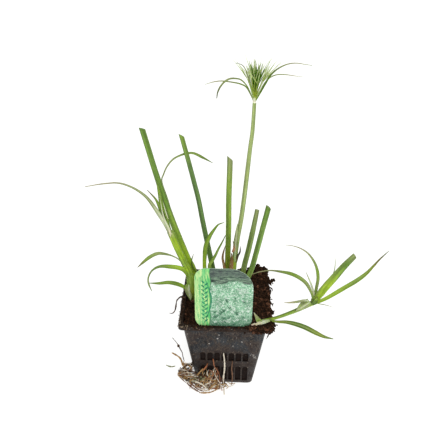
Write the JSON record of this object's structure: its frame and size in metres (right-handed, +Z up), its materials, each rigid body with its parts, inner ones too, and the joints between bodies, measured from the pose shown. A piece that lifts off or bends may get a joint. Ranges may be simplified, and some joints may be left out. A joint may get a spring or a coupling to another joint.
{
  "type": "potted papyrus plant",
  "caption": "Square slotted nursery pot of peat holding a papyrus with cut culms, a flowering culm with its tuft, leafy side shoots, trailing roots and a plant label.",
  "frame": {"origin": "centre of the pot's underside, on the surface that it stands on", "axes": "+Z up, -Y towards the printed side of the label, +X to the right seen from there"},
  "size_m": [0.2645, 0.1056, 0.3376],
  "materials": {
    "pot_plastic": "dull black, dusty",
    "label_plastic": "printed in pale and bright greens",
    "peat": "rough, dark brown, crumbly",
    "culm_green": "smooth and ribbed, mid green",
    "culm_dark": "smooth and ribbed, dark green",
    "stem_green": "smooth, green turning pale at the nodes",
    "leaf_green": "ribbed along its length, mid green",
    "leaf_bright": "ribbed along its length, bright yellow-green",
    "pale_sheath": "papery, cream to pale green",
    "dry_brown": "papery, dried orange-brown",
    "root_tan": "matt, wrinkled, tan",
    "root_pale": "matt, cream",
    "root_dark": "matt, dark brown"
  },
  "bodies": {
    "root": {"pot": "pot_plastic", "plant_label": "label_plastic", "soil": "peat", "culm_tall_left": "culm_green", "culm_middle": "culm_green", "culm_short_outer": "culm_green", "culm_second_left": "culm_dark", "culm_short_inner": "culm_dark", "culm_umbel": "stem_green", "left_shoot_stem": "stem_green", "right_shoot_stem": "stem_green", "right_shoot_culm": "stem_green", "left_leaf_long": "leaf_green", "left_leaf_dark": "leaf_green", "left_leaf_arched": "leaf_green", "left_base_leaf_upper": "leaf_green", "left_base_leaf_lower": "leaf_green", "right_leaf_arched": "leaf_green", "right_leaf_over_pot": "leaf_green", "right_leaf_low": "leaf_green", "right_leaf_thin": "leaf_green", "umbel_rays": "leaf_green", "umbel_bract_left_long": "leaf_green", "umbel_bract_left_arched": "leaf_green", "umbel_bract_left_top": "leaf_green", "umbel_bract_right_long": "leaf_green", "umbel_bract_right_low": "leaf_green", "left_leaf_upright": "leaf_bright", "left_base_leaf_middle": "leaf_bright", "middle_leaf_left": "leaf_bright", "middle_leaf_right": "leaf_bright", "right_leaf_long": "leaf_bright", "right_leaf_bottom": "leaf_bright", "left_leaf_pale": "pale_sheath", "left_base_sheath": "pale_sheath", "right_leaf_short": "pale_sheath", "right_leaf_small": "pale_sheath", "right_shoot_sheath": "pale_sheath", "right_foot_bract": "pale_sheath", "dry_strip": "dry_brown", "umbel_foot_sheath": "dry_brown", "root_orange": "root_tan", "root_red": "root_tan", "root_left": "root_tan", "root_mat": "root_tan", "root_white": "root_pale", "root_dark": "root_dark", "root_top_left": "root_dark"}
  },
  "joints": []
}
